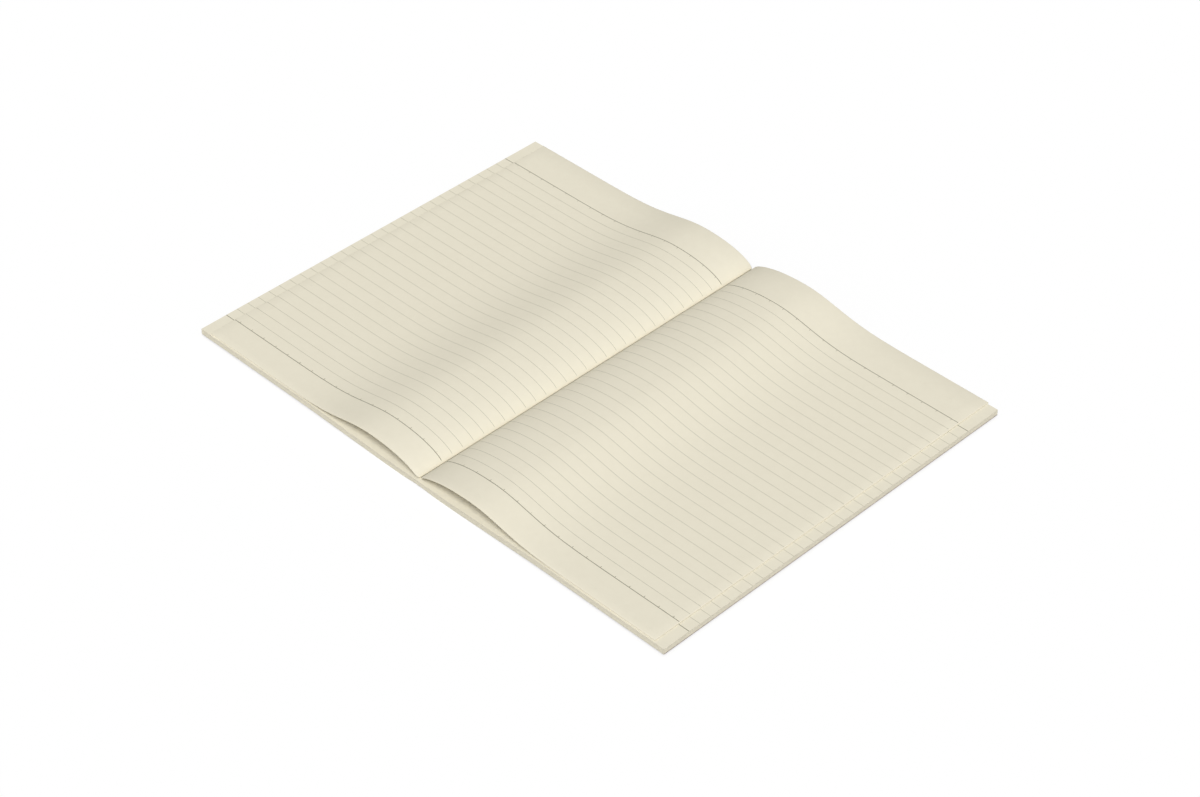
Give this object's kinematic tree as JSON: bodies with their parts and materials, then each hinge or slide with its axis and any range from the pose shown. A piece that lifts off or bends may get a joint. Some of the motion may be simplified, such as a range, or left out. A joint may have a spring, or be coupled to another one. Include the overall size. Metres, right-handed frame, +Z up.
{
  "type": "open composition notebook",
  "caption": "Open ruled notebook lying flat on thin card covers, its top leaf on each side arching up out of the fold.",
  "frame": {"origin": "on the table under the spine, at the middle of the notebook's length from foot to head", "axes": "+X across the spread from the front cover to the back cover, +Y along the spine towards the head of the pages, +Z up"},
  "size_m": [0.3486, 0.2526, 0.014],
  "materials": {
    "paper": "uncoated cream writing paper with thin grey-brown rules",
    "cover_card": "matt uncoated card, brown-mauve outside"
  },
  "bodies": {
    "pages": {"page_block": "paper", "spine_strip": "cover_card"},
    "front_cover": {"front_cover": "cover_card"},
    "back_cover": {"back_cover": "cover_card"}
  },
  "joints": [
    {"name": "front_cover_hinge", "type": "hinge", "parent": "pages", "child": "front_cover", "pos_m": [-0.00175, 0, 0.001], "axis": [0, -1, 0], "range_deg": [0, 88]},
    {"name": "back_cover_hinge", "type": "hinge", "parent": "pages", "child": "back_cover", "pos_m": [0.00175, 0, 0.001], "axis": [0, 1, 0], "range_deg": [0, 88]}
  ]
}
